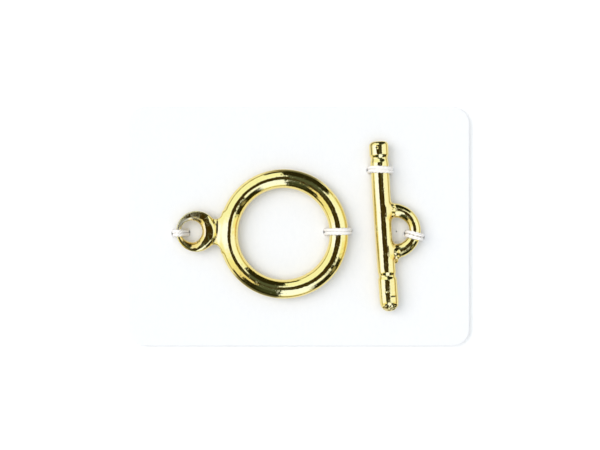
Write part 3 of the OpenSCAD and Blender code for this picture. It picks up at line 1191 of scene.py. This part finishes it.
# %% Light from each angle
# Angle round the object in degrees (0 is +X, 90 is +Y), and the light from there
CROWN = [
    (0, WHITE), (47, WHITE), (48, DUSK), (89, DUSK), (90, WHITE), (120, CREAM), (165, CREAM),
    (172, BRILLIANT), (188, BRILLIANT), (205, WARM), (230, AMBER), (237, AMBER), (238, DUSK),
    (263, DUSK), (264, SILVER), (292, SILVER), (300, WHITE), (317, WHITE), (319, DARK),
    (329, DARK), (331, WHITE), (360, WHITE),
]
WALL = [
    (0, WHITE), (42, CREAM), (43, DARK), (93, DARK), (94, CREAM), (165, CREAM), (172, BRILLIANT),
    (188, BRILLIANT), (205, WARM), (226, AMBER), (227, DARK), (240, DARK), (245, MOSS),
    (262, MOSS), (265, DARK), (266, SILVER), (292, SILVER), (299, DARK), (318, DARK), (320, HAZE),
    (325, HAZE), (327, DARK), (338, DARK), (339, WARM), (352, WARM), (360, WHITE),
]
FOOT = [
    (0, DIM), (42, DIM), (43, DARK), (110, DARK), (111, CREAM), (170, CREAM), (180, WHITE), (205, WARM),
    (214, AMBER), (215, DARK), (264, DARK), (265, CREAM), (293, CREAM), (297, DARK), (338, DARK),
    (339, DIM), (345, COPPER), (356, COPPER), (360, DIM),
]

# %% Blend crown, wall and foot
crown, wall, foot = (by_turn(tent, around, stops) for stops in (CROWN, WALL, FOOT))
walls = mix_colour(tent, soft_step(tent, down, 24.0, 36.0), crown, wall)
walls = mix_colour(tent, soft_step(tent, down, 64.0, 74.0), walls, foot)
horizon = mix_colour(tent, soft_step(tent, down, 80.0, 86.0), (1.0, 1.0, 1.0, 1.0), (*RUST, 1.0))
print("stops at crown, wall and foot:", len(CROWN), len(WALL), len(FOOT))

# %% [markdown]
# ## The camera in the mirror
#
# The real camera hangs in the top of the tent, and the metal shows it as the dark line on
# every crest. Here it is an oval of dark brown in the world, a few degrees off straight
# above, with an uneven edge.

# %% The camera's dark shape overhead
CAMERA_DOWN = math.radians(5.5)
CAMERA_ROUND = math.radians(140.0)
CAMERA_HALF_X = 0.31
CAMERA_HALF_Y = 0.21
BROWN = (0.046, 0.028, 0.004)
OVERHEAD = [(0, BROWN), (47, BROWN), (48, DUSK), (89, DUSK), (90, BROWN),
            (237, BROWN), (238, DUSK), (264, DUSK), (265, BROWN), (360, BROWN)]


def off_camera(socket, middle, half_width):
    return calc(tent, "DIVIDE", calc(tent, "SUBTRACT", ray_way[socket], middle), half_width)


off_x = off_camera("X", math.sin(CAMERA_DOWN) * math.cos(CAMERA_ROUND), CAMERA_HALF_X)
off_y = off_camera("Y", math.sin(CAMERA_DOWN) * math.sin(CAMERA_ROUND), CAMERA_HALF_Y)
uneven = calc(tent, "MULTIPLY_ADD", noise(tent, direction, scale=12.0, detail=4.0), 0.9, -0.45)
off = calc(tent, "ADD", length_of(tent, off_x, off_y), uneven)
above = soft_step(tent, down, 60.0, 50.0)
shape = calc(tent, "MULTIPLY", soft_step(tent, off, 1.04, 0.96), above)
tent_light = mix_colour(tent, shape, walls, by_turn(tent, around, OVERHEAD))
tent_light = mix_colour(tent, 1.0, tent_light, horizon, "MULTIPLY")

# %% [markdown]
# ## Who sees the tent
#
# Only mirrors have to see the tent with its gaps. Soft light comes from an even, dimmer
# dome, so that the key and fill lights shape the shadows on the card. Where the camera
# looks past the table, it sees a plain pale backdrop. The kind of the ray decides.

# %% Finish the tent
SOFT_DOME = (0.565, 0.59, 0.615, 1.0)
BACKDROP = (0.96, 0.96, 0.965, 1.0)
ray = add_node(tent, "ShaderNodeLightPath").outputs
seen = mix_colour(tent, ray["Is Glossy Ray"], SOFT_DOME, tent_light)
seen = mix_colour(tent, ray["Is Camera Ray"], seen, BACKDROP)
light = plug(tent, add_node(tent, "ShaderNodeBackground"), Color=seen)
plug(tent, add_node(tent, "ShaderNodeOutputWorld"), Surface=light[0])

# %% [markdown]
# ## Soft key and fill
#
# The faint bluish shadows in the photograph fall to the lower right, so a soft key light
# stands at the upper left, and a broad fill overhead lifts the card to a clean white. Area
# lamps could do it, but suns need no place and light the whole card evenly. Neither shows
# in the metal, where the tent already gives every reflection.

# %% Key and fill
def soft_sun(name, energy, colour, spread, fall):
    data = bpy.data.lights.new(name, "SUN")
    data.energy, data.color, data.angle = energy, colour, math.radians(spread)
    lamp = link_object(name, data)
    lamp.rotation_euler = Vector(fall).to_track_quat("-Z", "Y").to_euler()
    lamp.visible_glossy = False
    print(name, "light of strength", energy, "spread over", spread, "degrees")


soft_sun("key", energy=0.95, colour=(1.0, 0.93, 0.88), spread=40, fall=(0.8, -0.25, -1.0))
soft_sun("fill", energy=1.2, colour=(0.96, 0.99, 1.0), spread=60, fall=(0.12, 0.0, -1.0))
bpy.context.scene.view_settings.view_transform = "Standard"

# %% [markdown]
# ## The pieces on the body
#
# Each new piece takes the place of the CAD solid that it stands for, which is hidden. The
# clasp has no joint, so every piece rides on the one body.

# %% Ride and replace
for piece, solid, finish in (
        (ring_casting, "toggle_ring", "gold_plate"), (bar_casting, "toggle_bar", "gold_plate"),
        (needle_card, "card", "white_card")):
    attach(piece, "root")
    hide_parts(solid)
for tie in ties:
    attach(tie, "root")

# %% Print the boxes and finish
bpy.context.view_layer.update()
boxes = {"cad": [list(map(float, corner)) for corner in cad_box],
         "visual": [list(map(float, corner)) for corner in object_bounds()]}
for title, box in boxes.items():
    print(title, "box in mm:", [[round(v * 1000, 2) for v in corner] for corner in box])
